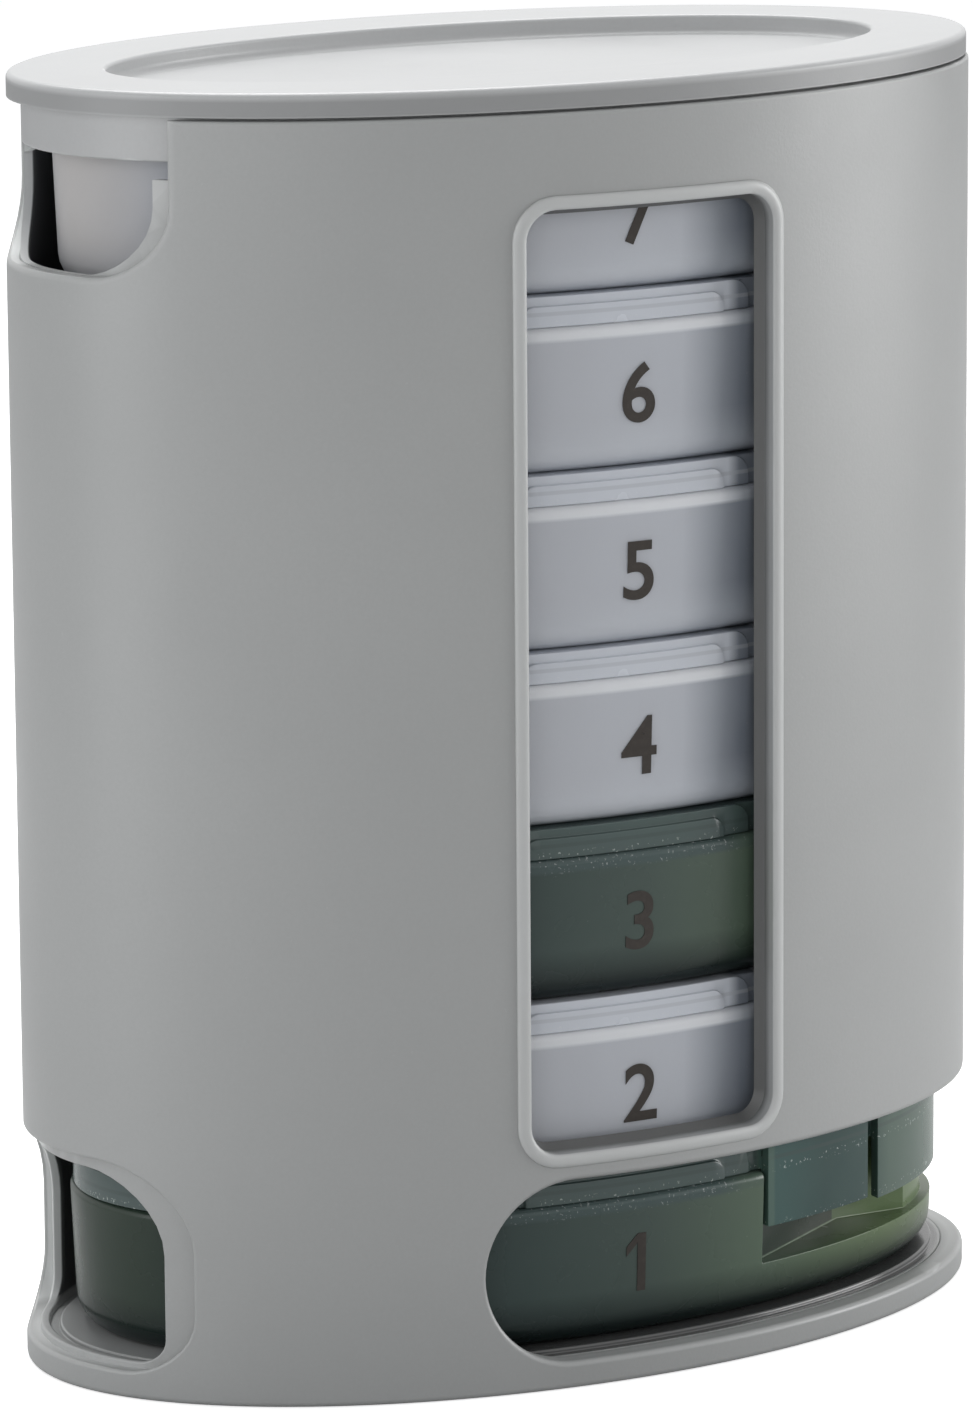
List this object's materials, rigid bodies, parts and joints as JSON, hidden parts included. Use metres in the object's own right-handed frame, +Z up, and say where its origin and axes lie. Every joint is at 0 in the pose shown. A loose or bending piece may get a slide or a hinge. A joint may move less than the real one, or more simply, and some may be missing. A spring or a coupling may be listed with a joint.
{
  "type": "weekly pill organizer",
  "caption": "Upright oval tower with a window, a wide mouth at its foot and a lift-off cap, holding a stack of lidded, divided pill trays that slide out at the foot.",
  "frame": {"origin": "centre of the tower's underside, on the surface that it stands on", "axes": "+Z up; +X along the long axis of the oval, towards the open end of the mouth; -Y is the side with the window"},
  "size_m": [0.105, 0.063, 0.13],
  "materials": {
    "housing_plastic": "satin warm grey",
    "cap_plastic": "satin warm grey",
    "white_tray": "frosted translucent white",
    "green_tray": "translucent dark green",
    "clear_lid": "clear, slightly frosted",
    "green_lid": "clear green tint"
  },
  "bodies": {
    "housing": {"tower_housing": "housing_plastic"},
    "tray_1": {"tray_1": "green_tray"},
    "lid_1": {"tray_lid_1": "green_lid"},
    "tray_2": {"tray_2": "white_tray", "tray_lid_2": "clear_lid"},
    "tray_3": {"tray_3": "green_tray", "tray_lid_3": "green_lid"},
    "tray_4": {"tray_4": "white_tray", "tray_lid_4": "clear_lid"},
    "tray_5": {"tray_5": "white_tray", "tray_lid_5": "clear_lid"},
    "tray_6": {"tray_6": "white_tray", "tray_lid_6": "clear_lid"},
    "tray_7": {"tray_7": "white_tray", "tray_lid_7": "clear_lid"},
    "cap": {"tower_cap": "cap_plastic"}
  },
  "joints": [
    {"name": "tray_1_slide", "type": "slide", "parent": "housing", "child": "tray_1", "axis": [1, 0, 0], "range_m": [0, 0.102]},
    {"name": "lid_1_slide", "type": "slide", "parent": "tray_1", "child": "lid_1", "axis": [1, 0, 0], "range_m": [0, 0.09]},
    {"name": "tray_2_lift", "type": "slide", "parent": "housing", "child": "tray_2", "axis": [0, 0, 1], "range_m": [0, 0.108]},
    {"name": "tray_3_lift", "type": "slide", "parent": "tray_2", "child": "tray_3", "axis": [0, 0, 1], "range_m": [0, 0.02]},
    {"name": "tray_4_lift", "type": "slide", "parent": "tray_3", "child": "tray_4", "axis": [0, 0, 1], "range_m": [0, 0.02]},
    {"name": "tray_5_lift", "type": "slide", "parent": "tray_4", "child": "tray_5", "axis": [0, 0, 1], "range_m": [0, 0.02]},
    {"name": "tray_6_lift", "type": "slide", "parent": "tray_5", "child": "tray_6", "axis": [0, 0, 1], "range_m": [0, 0.02]},
    {"name": "tray_7_lift", "type": "slide", "parent": "tray_6", "child": "tray_7", "axis": [0, 0, 1], "range_m": [0, 0.02]},
    {"name": "cap_lift", "type": "slide", "parent": "tray_7", "child": "cap", "axis": [0, 0, 1], "range_m": [0, 0.03]}
  ]
}
